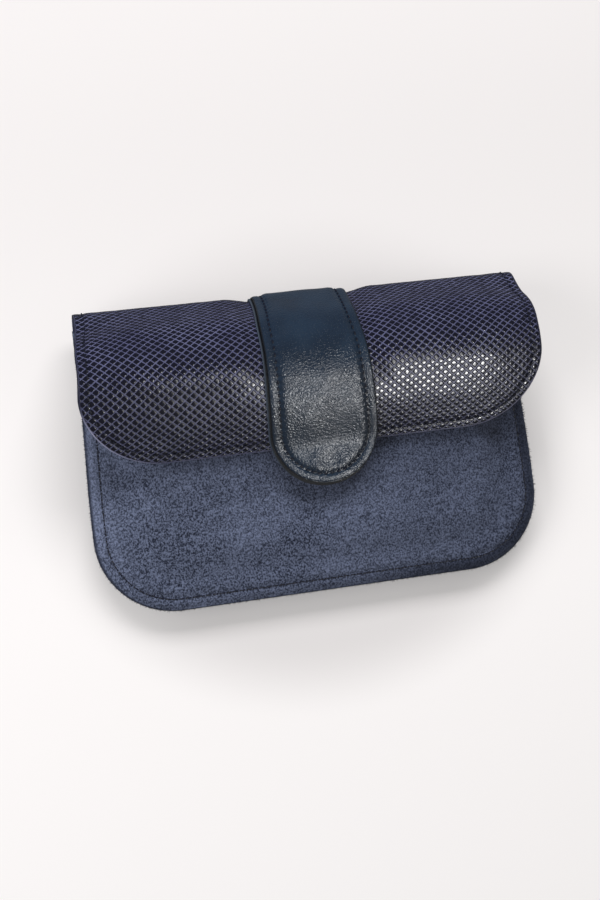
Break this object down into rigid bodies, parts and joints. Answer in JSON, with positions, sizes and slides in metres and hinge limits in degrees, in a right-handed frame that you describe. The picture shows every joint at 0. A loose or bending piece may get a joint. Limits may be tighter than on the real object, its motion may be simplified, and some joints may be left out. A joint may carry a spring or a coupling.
{
  "type": "clutch wallet",
  "caption": "Flat clutch wallet in suede with a patterned leather flap and a centre strap closed by a hidden magnetic snap.",
  "frame": {"origin": "middle of the rest face, below the middle of the whole wallet's box", "axes": "+X across the wallet's width, +Y up the wallet to the fold, +Z out of its front"},
  "size_m": [0.198, 0.1354, 0.0467],
  "materials": {
    "navy_suede": "matt napped suede, raw cut edges",
    "embossed_leather": "matt base with glossy raised diamond cells",
    "strap_leather": "smooth semi-gloss, fine grain",
    "lining_leather": "matt flesh side",
    "lining_cloth": "plain woven lining",
    "thread": "waxed thread",
    "snap_metal": "nickel plated"
  },
  "bodies": {
    "pouch": {"back_panel": "navy_suede", "front_panel": "navy_suede", "flap_yoke": "embossed_leather", "yoke_lining": "lining_leather", "strap_back_backing": "lining_leather", "strap_back_outer": "strap_leather", "back_lining": "lining_cloth", "front_lining": "lining_cloth", "card_pocket": "lining_cloth", "card_pocket_thread": "thread", "body_needle_thread": "thread", "body_bobbin_thread": "thread", "mouth_thread": "thread", "yoke_thread": "thread", "strap_back_thread": "thread", "snap_stud": "snap_metal", "snap_stud_washer": "snap_metal"},
    "flap": {"flap_outer": "embossed_leather", "flap_lining": "lining_leather", "flap_needle_thread": "thread", "flap_bobbin_thread": "thread", "strap_backing": "lining_leather", "strap_outer": "strap_leather", "strap_thread": "thread", "snap_socket": "snap_metal"}
  },
  "joints": [
    {"name": "flap_hinge", "type": "hinge", "parent": "pouch", "child": "flap", "pos_m": [0, 0.06575, 0.02109], "axis": [-1, 0, 0], "range_deg": [0, 165]}
  ]
}
